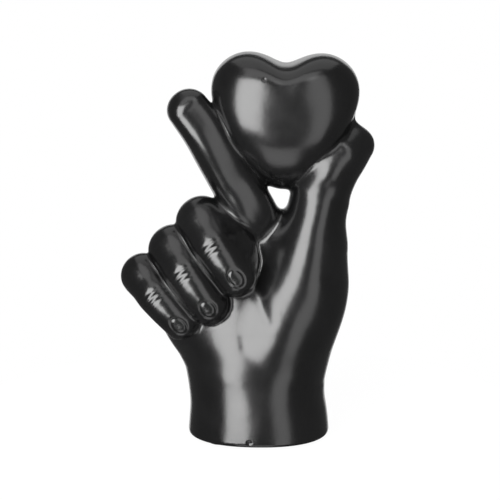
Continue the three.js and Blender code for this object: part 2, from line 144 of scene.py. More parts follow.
class Limb:
    """A round form of flesh: an oval profile carried along a smooth path.

    A point's distance is measured from the nearest place on the path: its offset is divided by the profile's
    half width and half depth, and how far it lies beyond the profile is scaled back to millimetres.
    """

    FAR = 24.0
    CHUNK = 16384
    GAP = 2.0
    STEPS = 40

    def __init__(self, stations: Sequence[Station], square: float = 2.0, twist: float = 0.0) -> None:
        """Work out the path and the profile along it, at places about GAP apart.

        Args:
            stations: Rows of x, y, z, half width and, where it differs, half depth.
            square: Power of the oval: 2 is an ellipse, and more makes its sides flatter.
            twist: How far the profile is turned about the path, in degrees, its front towards +x.
        """
        self.square = square
        rows = np.array([s if len(s) == 5 else (*s, s[3]) for s in stations], float)
        fine = smooth_path(rows, self.STEPS)
        run = np.concatenate([[0], np.cumsum(np.linalg.norm(np.diff(fine[:, :3], axis=0), axis=1))])
        even = np.linspace(0, run[-1], max(4, int(run[-1] / self.GAP)))
        self.rows = np.stack([np.interp(even, run, column) for column in fine.T], axis=-1)
        self.path = self.rows[:, :3]
        self.path_squared = np.sum(self.path**2, axis=1)
        self.turn = math.cos(math.radians(twist)), math.sin(math.radians(twist))
        reach = self.rows[:, 3:].max(1)[:, None]
        self.low = (self.path - reach).min(0)
        self.high = (self.path + reach).max(0)

    def __call__(self, points: np.ndarray) -> np.ndarray:
        """Measure points against the limb's skin.

        Args:
            points: Places in the figure's frame, one per row.

        Returns:
            Each one's distance, negative inside and FAR where it is far off.
        """
        found = np.full(len(points), self.FAR)
        near = np.all((points > self.low - self.FAR) & (points < self.high + self.FAR), axis=1)
        index = np.flatnonzero(near)
        for start in range(0, len(index), self.CHUNK):
            part = index[start:start + self.CHUNK]
            found[part] = np.minimum(self._distance(points[part]), self.FAR)
        return found

    def _distance(self, points: np.ndarray) -> np.ndarray:
        """Measure points from the parabola through the three places of the path that are nearest.

        With a and b for the offset across and down in shares of the profile, the oval's share is
        (a^p + b^p)^(1/p), and with the offset along the path it gives the share by which the distance is cut.

        Args:
            points: Places in the figure's frame, one per row.

        Returns:
            Each one's distance from the skin.
        """
        far = self.path_squared - 2 * points @ self.path.T
        at = np.clip(np.argmin(far, axis=1), 1, len(self.path) - 2)
        index = np.arange(len(points))
        before, here, after = (far[index, at + k] for k in (-1, 0, 1))
        t = np.clip((before - after) / (2 * np.maximum(before - 2 * here + after, 1e-3)), -1, 1)[:, None]
        first, middle, last = (self.rows[at + k] for k in (-1, 0, 1))
        slope, bend = (last - first) / 2, (first + last) / 2 - middle
        row = middle + slope * t + bend * t * t
        along = (slope + 2 * bend * t)[:, :3]
        along /= np.linalg.norm(along, axis=1)[:, None]
        side = np.stack([-along[:, 2], np.zeros(len(points)), along[:, 0]], axis=-1)
        side /= np.linalg.norm(side, axis=1)[:, None]
        deep = np.cross(side, along)
        c, s = self.turn
        away = points - row[:, :3]
        across, down, beyond = (np.einsum("ij,ij->i", away, axis) for axis in (side, deep, along))
        across, down = across * c - down * s, down * c + across * s
        p, wide, thick = self.square, row[:, 3], row[:, 4]
        oval = (np.abs(across / wide) ** p + np.abs(down / thick) ** p) ** (1 / p)
        least = np.minimum(wide, thick)
        reach = np.hypot(oval, beyond / least)
        size = np.sqrt(np.einsum("ij,ij->i", away, away))
        return np.where(reach > 1e-6, size * (1 - 1 / np.maximum(reach, 1e-6)), -least)


class Lattice:
    """Finds the closed skin on which a field is zero, as quads of about one size."""

    COARSE = 4
    MARGIN = 2.5
    SMALL = 0.04

    def __init__(self, field: Field, low: np.ndarray, high: np.ndarray, cell: float) -> None:
        """Keep the field and lay the lattice.

        Args:
            field: Distance of points from the skin, negative inside.
            low: Lowest corner of what the skin lies in.
            high: Its highest corner.
            cell: Edge of a lattice cell.
        """
        self.field, self.cell = field, cell
        self.origin = np.asarray(low, float) - self.MARGIN * cell
        blocks = np.ceil((np.asarray(high) - low + 2 * self.MARGIN * cell) / (cell * self.COARSE)).astype(int)
        self.blocks = tuple(blocks)

    def _values(self) -> np.ndarray:
        """Work the field out on the fine lattice, only in blocks that the skin may cross.

        Returns:
            Its values, with the coarse lattice's own elsewhere.
        """
        n, wide = self.COARSE, self.cell * self.COARSE
        corners = np.indices([b + 1 for b in self.blocks]).reshape(3, -1).T
        coarse = self.field(self.origin + corners * wide).reshape([b + 1 for b in self.blocks])
        near = np.abs(coarse) < wide * math.sqrt(3)
        crossed = np.zeros(self.blocks, bool)
        for i, j, k in np.ndindex(2, 2, 2):
            crossed |= near[i:i + self.blocks[0], j:j + self.blocks[1], k:k + self.blocks[2]]
        shape = [b * n + 1 for b in self.blocks]
        mask = np.zeros(shape, bool)
        fill = coarse[:-1, :-1, :-1]
        for axis in range(3):
            crossed = np.repeat(crossed, n, axis)
            fill = np.repeat(fill, n, axis)
        for i, j, k in np.ndindex(2, 2, 2):
            mask[i:i + crossed.shape[0], j:j + crossed.shape[1], k:k + crossed.shape[2]] |= crossed
        values = np.full(shape, wide)
        values[:-1, :-1, :-1] = fill
        values[mask] = self.field(self.origin + np.argwhere(mask) * self.cell)
        return values

    def normals(self, points: np.ndarray) -> np.ndarray:
        """Find the directions in which the field grows fastest, from differences SMALL to each side.

        Args:
            points: Places in the figure's frame, one per row.

        Returns:
            Unit vectors, one per row.
        """
        slope = np.empty_like(points)
        for axis in range(3):
            aside = np.zeros(3)
            aside[axis] = self.SMALL
            slope[:, axis] = self.field(points + aside) - self.field(points - aside)
        return slope / np.maximum(np.linalg.norm(slope, axis=1), 1e-12)[:, None]

    def _settled(self, points: np.ndarray, passes: int) -> np.ndarray:
        """Draw points onto the skin: each pass moves them along the field's slope by their distance.

        Args:
            points: Places in the figure's frame, one per row.
            passes: How often they are moved.

        Returns:
            The points on the skin.
        """
        for _ in range(passes):
            step = np.clip(self.field(points), -self.cell / 2, self.cell / 2)
            points = points - self.normals(points) * step[:, None]
        return points

    def skin(self) -> tuple[np.ndarray, np.ndarray]:
        """Work out the skin.

        One vertex lies in each cell that the skin crosses, first at the middle of where it crosses the cell's
        edges, and each lattice edge that crosses the skin has a quad of the four cells around it. Vertices
        are then evened out among their neighbours and drawn onto the skin.

        Returns:
            The vertices in millimetres and the quads.
        """
        values = self._values()
        inside = values < 0
        size = [s - 1 for s in values.shape]
        corner = [tuple(slice(o, o + s) for o, s in zip(offset, size)) for offset in np.ndindex(2, 2, 2)]
        count = sum(inside[c].astype(np.int8) for c in corner)
        cells = np.argwhere((count > 0) & (count < 8))
        number = np.full(size, -1, np.int64)
        number[tuple(cells.T)] = np.arange(len(cells))
        total, hits = np.zeros((len(cells), 3)), np.zeros((len(cells), 1))
        offsets = np.array(list(np.ndindex(2, 2, 2)))
        for a in offsets:
            for axis in range(3):
                if a[axis]:
                    continue
                b = a + np.eye(3, dtype=int)[axis]
                va, vb = values[tuple((cells + a).T)], values[tuple((cells + b).T)]
                cross = ((va < 0) != (vb < 0))[:, None]
                share = np.clip(va / np.where(va == vb, 1, va - vb), 0.1, 0.9)[:, None]
                total += np.where(cross, a + (b - a) * share, 0)
                hits += cross
        points = self.origin + (cells + total / hits) * self.cell
        quads = np.vstack([self._quads(inside, number, axis) for axis in Axis])
        points = self._settled(points, 2)
        for _ in range(2):
            points = self._settled(evened(points, quads), 1)
        return self._settled(points, 1), quads

    @staticmethod
    def _quads(inside: np.ndarray, number: np.ndarray, axis: Axis) -> np.ndarray:
        """Lay quads round the lattice edges along one axis that cross the skin.

        Args:
            inside: Which lattice points lie inside the skin.
            number: Each cell's vertex, or -1.
            axis: The direction of the edges.

        Returns:
            Four vertices per row, wound to face outwards.
        """
        m, u, v = axis.value, (axis.value + 1) % 3, (axis.value + 2) % 3
        start = [slice(None)] * 3
        stop = [slice(None)] * 3
        start[m], stop[m] = slice(None, -1), slice(1, None)
        for k in (u, v):
            start[k] = stop[k] = slice(1, -1)
        here, there = inside[tuple(start)], inside[tuple(stop)]
        at = np.argwhere(here != there)
        outward = here[tuple(at.T)]
        at[:, u] += 1
        at[:, v] += 1
        one_u, one_v = np.eye(3, dtype=int)[u], np.eye(3, dtype=int)[v]
        ring = [at - one_u - one_v, at - one_v, at, at - one_u]
        quads = np.stack([number[tuple(r.T)] for r in ring], axis=1)
        quads[~outward] = quads[~outward][:, ::-1]
        return quads


def evened(points: np.ndarray, quads: np.ndarray) -> np.ndarray:
    """Move each vertex half way to the mean of its neighbours round its quads.

    Args:
        points: The vertices.
        quads: Four of them per row.

    Returns:
        The vertices' new places.
    """
    total, count = np.zeros_like(points), np.zeros(len(points))
    for k in range(4):
        here, there = quads[:, k], quads[:, (k + 1) % 4]
        for a, b in ((here, there), (there, here)):
            for axis in range(3):
                total[:, axis] += np.bincount(a, points[b, axis], len(points))
            count += np.bincount(a, minlength=len(points))
    return points / 2 + total / np.maximum(count, 1)[:, None] / 2


class Placement:
    """Where the figure stands in the CAD's frame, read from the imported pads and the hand's foot."""

    def __init__(self) -> None:
        """Take the middle between two opposite pads, and the height of the foot."""
        low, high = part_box("felt_pad_front_left")[0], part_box("felt_pad_back_right")[1]
        self.offset = np.array([(low.x + high.x) / 2, (low.y + high.y) / 2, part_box("hand_shell")[0].z])

    def to_frame(self, points: np.ndarray) -> np.ndarray:
        """Millimetres of the figure to metres of the frame."""
        return points * MM + self.offset


def add_mesh(
        name: str, points: np.ndarray, faces: np.ndarray, material: bpy.types.Material) -> bpy.types.Object:
    """Put a surface into the scene as a smooth-shaded object at the origin.

    Args:
        name: The object's name.
        points: Vertices in metres, in the frame.
        faces: One face of three or four corners per row.
        material: What it is finished with.

    Returns:
        The new object.
    """
    mesh = bpy.data.meshes.new(name)
    count, sides = faces.shape
    mesh.vertices.add(len(points))
    mesh.vertices.foreach_set("co", points.astype(np.float32).ravel())
    mesh.loops.add(count * sides)
    mesh.loops.foreach_set("vertex_index", faces.astype(np.int32).ravel())
    mesh.polygons.add(count)
    mesh.polygons.foreach_set("loop_start", np.arange(0, count * sides, sides, dtype=np.int32))
    mesh.polygons.foreach_set("use_smooth", np.ones(count, bool))
    mesh.update(calc_edges=True)
    mesh.validate()
    mesh.materials.append(material)
    piece = bpy.data.objects.new(name, mesh)
    bpy.context.scene.collection.objects.link(piece)
    return piece


def register(piece: bpy.types.Object, node: str) -> None:
    """Let a piece ride with the figure and stand for its CAD node.

    Args:
        piece: What was made.
        node: The CAD node's name.
    """
    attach(piece, FIGURE_BODY)
    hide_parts(node)
    log.info("%s: %d vertices, %d faces", piece.name, len(piece.data.vertices), len(piece.data.polygons))


@dataclass(frozen=True)
class Heart:
    """A full, rounded heart: an outline round its centre, domed in front and behind.

    The outline is a sum of cosines of the angle from straight up, in shares of the width. Inwards, each
    cosine fades the more the faster it turns, so that the notch runs out on the dome.

    Attributes:
        lean: How far the heart leans towards +x, in degrees.
        dome: Power that rounds the dome: 2 is an ellipse, and more makes it fuller.
        taper: How fast the depth lessens below taper_from, a share of the width above the centre, and down
            to taper_most below that.
        outline: The cosines' sizes, from the one that doesn't turn upwards.
    """

    BEYOND = 1.5
    SMALL = 0.05

    centre: tuple[float, float, float] = (13.4, -0.5, 166.0)
    width: float = 75.6
    lean: float = 1.5
    half_depth: float = 23.5
    dome: float = 2.8
    taper: float = 0.9
    taper_from: float = 0.05
    taper_most: float = 0.5
    outline: tuple[float, ...] = (
        0.46043, 0.03837, -0.01814, -0.06663, -0.01832, -0.02019, 0.00355, -0.00411, -0.00378, -0.00116)

    def _reach(self, points: np.ndarray) -> np.ndarray:
        """How far out points lie, as a share of the way from the centre to the skin.

        With u for the share of the outline, v for that of the depth and n for the dome's power it is
        (u^n + v^n)^(1/n). Past BEYOND times the outline the cosines fade no less.

        Args:
            points: Places measured from the heart's centre, one per row.

        Returns:
            Each one's share, 1 on the skin.
        """
        across, up = points[:, 0], points[:, 2]
        far = np.hypot(across, up) + 1e-6
        shares = np.array(self.outline) * self.width
        out = np.clip(far / np.polynomial.chebyshev.chebval(up / far, shares), 0, self.BEYOND)
        now, after, edge = np.ones_like(far), up / far, np.zeros_like(far)
        for turns, share in enumerate(shares):
            edge += share * now * out ** max(turns - 1, 0)
            now, after = after, 2 * after * up / far - now
        thin = 1 - self.taper * np.clip(self.taper_from - up / self.width, 0, self.taper_most) ** 2
        u, v = far / edge, np.abs(points[:, 1]) / (self.half_depth * thin)
        return (u**self.dome + v**self.dome) ** (1 / self.dome)

    def field(self) -> Field:
        """Lean the heart from the upright and measure from its skin.

        Returns:
            The distance from the skin as a function of points.
        """
        lean, middle = math.radians(self.lean), np.array(self.centre)
        c, s = math.cos(lean), math.sin(lean)
        turn = np.array([[c, 0, s], [0, 1, 0], [-s, 0, c]])
        asides = self.SMALL * np.eye(3)

        def distance(points: np.ndarray) -> np.ndarray:
            """Divide how far the reach is past the skin by how fast it grows.

            Args:
                points: Places in the figure's frame, one per row.

            Returns:
                Each one's distance.
            """
            own = (points - middle) @ turn
            slope = [self._reach(own + aside) - self._reach(own - aside) for aside in asides]
            steep = np.maximum(np.sqrt(sum(each**2 for each in slope)) / (2 * self.SMALL), 0.01)
            return (self._reach(own) - 1) / steep

        return distance

    def beside(
            self, across: float, depth: float, up: float, wide: float, deep: float | None = None) -> Station:
        """Hold a station against the heart.

        Args:
            across: How far right of the heart's centre it is, in shares of the heart's width.
            depth: How far behind the centre it is.
            up: How far above, in shares of the width.
            wide: The profile's half width.
            deep: Its half depth, where that differs.

        Returns:
            The station in the figure's frame.
        """
        x, y, z = self.centre
        return x + across * self.width, y + depth, z + up * self.width, wide, wide if deep is None else deep


@dataclass(frozen=True)
class Finger:
    """A finger folded onto the palm, with its nail and the creases over its last joint.

    Attributes:
        bones: Lengths from the knuckle to the last joint, and on to the tip.
        lean: How far it leans from straight down towards +x, in degrees.
        radii: Half thickness at root, knuckle, last joint and tip.
        nail: Where the nail is down from the last joint and aside, and its half length and half width.
        broad: Half width as a share of half thickness.
        dips: How far each bone dips out of the palm, in degrees.
        tip_turn: How much further the last bone leans.
        fold: Width over which the flesh melts in the fold.
        pressed: Size of the flesh in the fold, as a share of the finger's own.
        wrinkles: Place of each crease past the last joint, and its depth.
        bend: How near the joint the path leaves each bone.
        shoulder: Flesh beside the knuckle, as a limb of its own.
    """

    RIM = (0.06, 1.35, 0.3)
    GROOVE = (0.2, 1.0, 0.15)
    PLATE = (0.12, 0.7, 0.95)
    FACING = (1.0, 5.0)
    CREASE_BOW = 26.0
    CREASE_WIDTH = 0.95
    CREASE_REACH = 6.5

    name: str
    root: tuple[float, float, float]
    knuckle: tuple[float, float, float]
    bones: tuple[float, float]
    lean: float
    radii: tuple[float, float, float, float]
    nail: tuple[float, float, float, float]
    broad: float = 1.12
    dips: tuple[float, float] = (43.0, 4.0)
    tip_turn: float = 3.0
    fold: float = 5.0
    pressed: float = 0.72
    wrinkles: tuple[tuple[float, float], ...] = ((-3.4, 0.22), (-0.6, 0.36), (2.0, 0.24))
    bend: float = 5.5
    shoulder: tuple[Station, ...] = ()

    def joints(self) -> np.ndarray:
        """Work out where the finger bends.

        Returns:
            Root, knuckle, last joint and tip, one per row.
        """
        def turned(lean: float, dip: float) -> np.ndarray:
            """Unit vector that leans from straight down towards +x and dips out of the palm."""
            a, b = math.radians(lean), math.radians(dip)
            return np.array([math.sin(a) * math.cos(b), -math.sin(b), -math.cos(a) * math.cos(b)])

        knuckle = np.array(self.knuckle)
        joint = knuckle + turned(self.lean, self.dips[0]) * self.bones[0]
        tip = joint + turned(self.lean + self.tip_turn, self.dips[1]) * self.bones[1]
        return np.array([self.root, knuckle, joint, tip])

    def field(self) -> Field:
        """Melt the finger's limbs: out to the knuckle, down to the tip and the flesh in the fold.

        Returns:
            The distance from its skin as a function of points.
        """
        stations = [(*at, radius * self.broad, radius) for at, radius in zip(self.joints(), self.radii)]
        fold = [(*stations[k][:3], stations[k][4] * self.pressed) for k in (0, 2)]
        knuckle, joint, tip = (np.array(each) for each in stations[1:])
        bones = [end - joint for end in (knuckle, tip)]
        bent = [joint + bone * self.bend / np.linalg.norm(bone[:3]) for bone in bones]
        limbs = [Limb(stations[:2]), Limb([knuckle, *bent, tip]), Limb(fold)]
        if self.shoulder:
            limbs.append(Limb(self.shoulder))

        def distance(points: np.ndarray) -> np.ndarray:
            """Join the limbs and lift the nail and creases on their skin."""
            value = meld([limb(points) for limb in limbs], self.fold)
            near = np.flatnonzero(np.abs(value) < RELIEF_BAND)
            value[near] -= self._relief(points[near])
            return value

        return distance

    def _relief(self, points: np.ndarray) -> np.ndarray:
        """How far the nail and the creases over the last joint lift the skin.

        The nail is an oval plate with a groove round it and a soft rim outside that. Each has a height, and
        its place and softness as shares of the nail. The creases are shallow grooves across the finger, bowed
        away from the knuckle at its sides.

        Args:
            points: Places near the skin, one per row.

        Returns:
            Each one's lift in millimetres, negative in a groove.
        """
        _, _, joint, tip = self.joints()
        along = (tip - joint) / np.linalg.norm(tip - joint)
        across = np.cross(along, (0, 1, 0))
        across /= np.linalg.norm(across)
        own = (points - joint) @ np.stack([along, across, np.cross(along, across)], axis=1)
        down, aside = own[:, 0], -own[:, 1]
        facing = step_up(-(points[:, 1] - joint[1]), *self.FACING)
        at, off, long, wide = self.nail
        ring = np.hypot((down - at) / long, (aside - off) / wide)
        rim, groove = (height * hill(ring - at, soft) for height, at, soft in (self.RIM, self.GROOVE))
        height, full, none = self.PLATE
        nail = rim - groove + height * (1 - step_up(ring, full, none))
        down = down - aside**2 / self.CREASE_BOW
        creases = [deep * hill(down - place, self.CREASE_WIDTH) for place, deep in self.wrinkles]
        return facing * (nail - sum(creases) * hill(aside, self.CREASE_REACH))


@dataclass(frozen=True)
class Hand:
    """Wrist, palm, back of the hand and thumb: limbs that melt into each other.

    Attributes:
        palm_blend: Width over which the limbs of wrist and palm melt.
        thumb_blend: The same between them and the thumb.
        pad_blend: The same between the thumb, its pad and its cap.
        foot_round: The same at the edge of the flat foot.
        hollows: Shallow hollows of the palm: the ends of each one's line as x and z, its reach and its depth.
        ridges: Limbs of the back: one to the forefinger and one to the root of each folded finger.
    """

    palm_blend: float = 14.0
    thumb_blend: float = 9.0
    pad_blend: float = 7.0
    foot_round: float = 1.8
    wrist_square: float = 2.25
    wrist_twist: float = -2.0
    pad_square: float = 3.0
    pad_twist: float = -14.0
    wrist: tuple[Station, ...] = (
        (0.4, 0, -12, 36.8, 31.5), (0.4, 0, 0, 36.8, 31.5), (0.2, 0, 18, 34.9, 30.4),
        (1.2, 0, 30, 32.9, 28.4), (2.4, 0, 40, 31.6, 26.7), (1, 1, 56, 31, 24))
    palm: tuple[Station, ...] = (
        (12, 2, 8, 14, 12), (-1, 2, 42, 31, 25), (-9, 2, 62, 32.4, 23.5), (-11, 3, 76, 29, 23),
        (-6, 8, 94, 20, 16))
    heel: tuple[Station, ...] = (
        (2.5, 0, 4, 8, 12), (-12.5, 2, 34, 16, 22), (-19.2, 3, 48, 15.2, 20), (-33, 4, 61, 16, 17),
        (-40, 5, 72, 14, 14))
    web: tuple[Station, ...] = ((28, -2, 100, 10), (13, 0, 101.4, 9.5), (1, 0, 91, 10))
    flank: tuple[Station, ...] = (
        (-2, 0, 4, 9, 13), (12, 1, 38, 13.5, 18), (23.6, -3.5, 60, 18.4, 21), (28.6, -4, 79, 18.3, 19.5),
        (29, -2.5, 97, 15.2, 17))
    thumb: tuple[Station, ...] = (
        (-2.5, 3, 4, 9, 14), (4, 1, 40, 16, 19), (11, -3.5, 58, 20, 24), (19.4, -5, 79, 20, 21.5),
        (25.6, -4, 100, 17, 18.5), (29.4, -3.5, 115, 15.6, 16.5), (32.8, -3, 128.5, 15.2, 15))
    thumb_end: tuple[Station, ...] = (
        (0.343, -3.5, -0.351, 12.4, 13), (0.426, -3, -0.245, 10.8, 11.6), (0.477, -0.5, -0.18, 9.8, 10))
    pad: tuple[Station, ...] = (
        (0.17, -5.5, -0.425, 5.5, 7), (0.268, -7.9, -0.29, 9.5, 9.4), (0.372, -6, -0.2, 8.5, 9.2))
    cap: tuple[Station, ...] = (
        (0.45, 0, -0.17, 7), (0.434, 0, -0.1, 4.6), (0.425, 0, -0.03, 3.6), (0.42, 0, 0.04, 4))
    hollows: tuple[tuple[float, ...], ...] = (
        (-6.7, 53, -6.7, 56.5, 3, 0.26), (-1, 83, 4.5, 66.5, 3.2, 0.55), (-3, 106, -2.2, 93, 5, 1.2))
    ridges: tuple[tuple[Station, ...], ...] = (
        ((12, 6, 48, 14), (6, 8, 80, 13), (4, 9, 103, 12)),
        ((2, 8, 48, 15), (-4, 10, 78, 14)),
        ((-8, 8, 46, 15), (-16, 10, 68, 14)),
        ((-16, 7, 42, 15), (-28, 9, 58, 13)))

    def field(self, heart: Heart, fingers: Sequence[Finger]) -> Field:
        """Distance from the hand's skin, down to a foot that is flat underneath.

        Args:
            heart: What the thumb's end is held against.
            fingers: The folded fingers, whose roots the ridges of the back run up to.

        Returns:
            The distance as a function of points.
        """
        ends: list[list[Station]] = [[], *([(*f.root, f.radii[0])] for f in fingers)]
        ridges = [Limb([*ridge, *end]) for ridge, end in zip(self.ridges, ends)]
        limbs = [*(Limb(each) for each in (self.palm, self.heel, self.web, self.flank)), *ridges]
        limbs.append(Limb(self.wrist, self.wrist_square, self.wrist_twist))
        thumb = Limb([*self.thumb, *(heart.beside(*end) for end in self.thumb_end)])
        pad = Limb([heart.beside(*end) for end in self.pad], self.pad_square, self.pad_twist)
        cap = Limb([heart.beside(*end) for end in self.cap])

        def distance(points: np.ndarray) -> np.ndarray:
            """Join palm and thumb, sink the hollows and cut the foot flat."""
            body = meld([limb(points) for limb in limbs], self.palm_blend)
            raised = meld([limb(points) for limb in (thumb, pad, cap)], self.pad_blend)
            whole = soften(body, raised, self.thumb_blend)
            near = np.flatnonzero((np.abs(whole) < RELIEF_BAND) & (points[:, 1] < 0))
            whole[near] += self._hollow(points[near])
            return -soften(-whole, points[:, 2], self.foot_round)

        return distance

    def _hollow(self, points: np.ndarray) -> np.ndarray:
        """How deep the palm's shallow hollows are: a bell across each one's line, seen from the front.

        Args:
            points: Places near the skin, one per row.

        Returns:
            Each one's depth.
        """
        across, up = points[:, 0], points[:, 2]
        deep = np.zeros(len(points))
        for x, z, end_x, end_z, reach, depth in self.hollows:
            dx, dz = end_x - x, end_z - z
            along = np.clip(((across - x) * dx + (up - z) * dz) / (dx**2 + dz**2), 0, 1)
            deep += depth * hill(np.hypot(across - x - along * dx, up - z - along * dz), reach)
        return deep


@dataclass(frozen=True)
class Forefinger:
    """The straight forefinger, from its knuckle in the hand to its tip beside the heart."""

    root: tuple[Station, ...] = ((5, 10, 100, 11.5), (0.8, 2, 110, 12), (-4.6, -3, 120.8, 12.6))
    end: tuple[Station, ...] = (
        (-0.355, -4.6, -0.397, 11.9), (-0.446, -6.8, -0.221, 11.9), (-0.532, -7.8, -0.07, 11.5),
        (-0.646, -8, 0.088, 10.8, 10))
    square: float = 2.8
    twist: float = 14.0

    def field(self, heart: Heart) -> Field:
        """Distance from the forefinger's skin, held against the heart."""
        return Limb([*self.root, *(heart.beside(*end) for end in self.end)], self.square, self.twist)


@dataclass(frozen=True)
class Casting:
    """One casting: its CAD node, its own field, its fillet's width, its lattice's cell and its box."""

    node: str
    field: Field
    fillet: float
    cell: float
    low: np.ndarray
    high: np.ndarray


class Figure:
    """All castings under one glaze, which fills the creases between them.

    The castings are in the order in which they are fitted: each is cut away by those before it. The glaze's
    skin lies INSET inside theirs, and pools in the window under the heart.
    """

    CLEAR = 8.0
    LAP = 1.2
    SINK = 0.12
    INSET = 0.08
    WINDOW = (11.3, 0.0, 125.3)
    WINDOW_REACH = 12.0
    POOL = 3.0

    def __init__(self, castings: Sequence[Casting]) -> None:
        """Keep the castings."""
        self.castings = list(castings)

    def _values(self, points: np.ndarray) -> list[np.ndarray]:
        """Measure points against every casting's own skin.

        Args:
            points: Places in the figure's frame, one per row.

        Returns:
            The distances for each casting, FAR where the points are clear of its box.
        """
        found = []
        for casting in self.castings:
            value = np.full(len(points), Limb.FAR)
            near = np.all((points > casting.low - self.CLEAR) & (points < casting.high + self.CLEAR), axis=1)
            if near.any():
                value[near] = casting.field(points[near])
            found.append(value)
        return found

    def _glazed(self, points: np.ndarray, values: Sequence[np.ndarray]) -> np.ndarray:
        """Distance from the glaze over all castings, which melts them together at each one's fillet.

        Within WINDOW_REACH of the window under the heart the fillets widen, by POOL at its middle.

        Args:
            points: Places in the figure's frame, one per row.
            values: Their distances from each casting.

        Returns:
            Their distances from the glaze.
        """
        whole = values[0]
        pool = self.POOL * hill(np.linalg.norm(points - np.array(self.WINDOW), axis=1), self.WINDOW_REACH)
        for casting, value in zip(self.castings[1:], values[1:]):
            whole = soften(whole, value, casting.fillet + pool)
        return whole + self.INSET

    def field_of(self, own: int) -> Field:
        """Distance from one casting's part of the glazed figure.

        It is the glaze where the casting is nearest. Where an earlier casting takes over, inside it or nearer
        to it, the part runs on for LAP and sinks under it at a slope of SINK, and then ends.

        Args:
            own: The casting's place in the order.

        Returns:
            The distance as a function of points.
        """
        def distance(points: np.ndarray) -> np.ndarray:
            """Cut the glaze off past the casting's own part."""
            values = self._values(points)
            past = np.full(len(points), -Limb.FAR)
            for k, value in enumerate(values):
                if k < own:
                    past = np.maximum(past, -np.minimum(value, value - values[own]))
                elif k > own:
                    past = np.maximum(past, np.minimum(values[own], values[own] - value))
            glaze = self._glazed(points, values) + self.SINK * np.clip(past, 0, None)
            return np.maximum(glaze, past - self.LAP)

        return distance

    def build(self, placement: Placement, material: bpy.types.Material, slot: str) -> None:
        """Make and dress every casting's piece.

        Args:
            placement: Where the figure stands.
            material: The glaze.
            slot: Not used.
        """
        for k, casting in enumerate(self.castings):
            cell = casting.cell * 1
            points, quads = Lattice(self.field_of(k), casting.low, casting.high, cell).skin()
            piece = add_mesh(f"{casting.node}_glazed", placement.to_frame(points), quads, material)
            register(piece, casting.node)


class Socket:
    """A shader value that Python's operators work on: each adds a Math node."""

    def __init__(self, nodes: "Nodes", link: bpy.types.NodeSocket) -> None:
        """Keep the output socket that the value comes from."""
        self.nodes, self.link = nodes, link

    def _math(self, operation: str, *values: "Socket | float") -> "Socket":
        """Add one Math node.

        Args:
            operation: The Math node's operation.
            values: Its inputs in order.

        Returns:
            The node's result.
        """
        return self.nodes.add("ShaderNodeMath", {"operation": operation}, dict(enumerate(values)))

    def __add__(self, other: "Socket | float") -> "Socket":
        """Sum."""
        return self._math("ADD", self, other)

    __radd__ = __add__

    def __mul__(self, other: "Socket | float") -> "Socket":
        """Product."""
        return self._math("MULTIPLY", self, other)

    __rmul__ = __mul__

    def __sub__(self, other: "Socket | float") -> "Socket":
        """Difference."""
        return self._math("SUBTRACT", self, other)

    def __rsub__(self, other: "Socket | float") -> "Socket":
        """Difference with the value second."""
        return self._math("SUBTRACT", other, self)

    def ramp(self, low: float, high: float) -> "Socket":
        """Rise smoothly from 0 at low to 1 at high."""
        names = {"Value": self, "From Min": low, "From Max": high}
        return self.nodes.add("ShaderNodeMapRange", {"interpolation_type": "SMOOTHSTEP"}, names)


class Nodes:
    """Writes a material's or a world's node tree."""

    def __init__(self, tree: bpy.types.NodeTree) -> None:
        """Start the tree afresh."""
        self.tree = tree
        tree.nodes.clear()

    def add(
            self, kind: str, settings: dict | None = None, values: dict | None = None,
            out: int | str = 0) -> Socket | None:
        """Add any node.

        Args:
            kind: The node's type.
            settings: Its properties, which are set first.
            values: Its inputs by name or number, each a value or the Socket that feeds it.
            out: Which of its outputs is returned.

        Returns:
            That output, or nothing from an output node.
        """
        node = self.tree.nodes.new(kind)
        for key, value in (settings or {}).items():
            setattr(node, key, value)
        for key, value in (values or {}).items():
            if isinstance(value, Socket):
                self.tree.links.new(value.link, node.inputs[key])
            else:
                node.inputs[key].default_value = value
        return Socket(self, node.outputs[out]) if node.outputs else None

    def place(self) -> Socket:
        """Where a point is on the piece, in metres."""
        return self.add("ShaderNodeTexCoord", out="Object")

    def noise(self, size: float, detail: float = 2.0, roughness: float = 0.5, shift: float = 0.0) -> Socket:
        """Add cloudy noise from 0 to 1.

        Args:
            size: How wide its lumps are, in metres.
            detail: How many finer layers it has.
            roughness: How much they show.
            shift: How far it is moved, so that two noises differ.

        Returns:
            The noise's value.
        """
        moved = {0: self.place(), 1: (shift, shift, shift)}
        at = self.add("ShaderNodeVectorMath", {"operation": "ADD"}, moved, "Vector")
        values = {"Vector": at, "Scale": 1 / size, "Detail": detail, "Roughness": roughness}
        return self.add("ShaderNodeTexNoise", values=values)

    def blend(self, factor: Socket, first: tuple[float, ...], second: tuple[float, ...]) -> Socket:
        """One colour fading into another. The Mix node's inputs 6 and 7 and its output 2 are its colours."""
        values = {0: factor, 6: (*first, 1.0), 7: (*second, 1.0)}
        return self.add("ShaderNodeMix", {"data_type": "RGBA"}, values, 2)


def new_material(name: str) -> tuple[bpy.types.Material, Nodes]:
    """Make a material and start its node tree afresh.

    Args:
        name: The material's name.

    Returns:
        The material and the writer of its nodes.
    """
    made = bpy.data.materials.new(name)
    made.use_nodes = True
    return made, Nodes(made.node_tree)


@dataclass(frozen=True)
class Mark:
    """A flaw in the glaze: where it is in the figure, how wide it is and how deep, negative for a lump."""

    place: tuple[float, float, float]
    radius: float
    depth: float


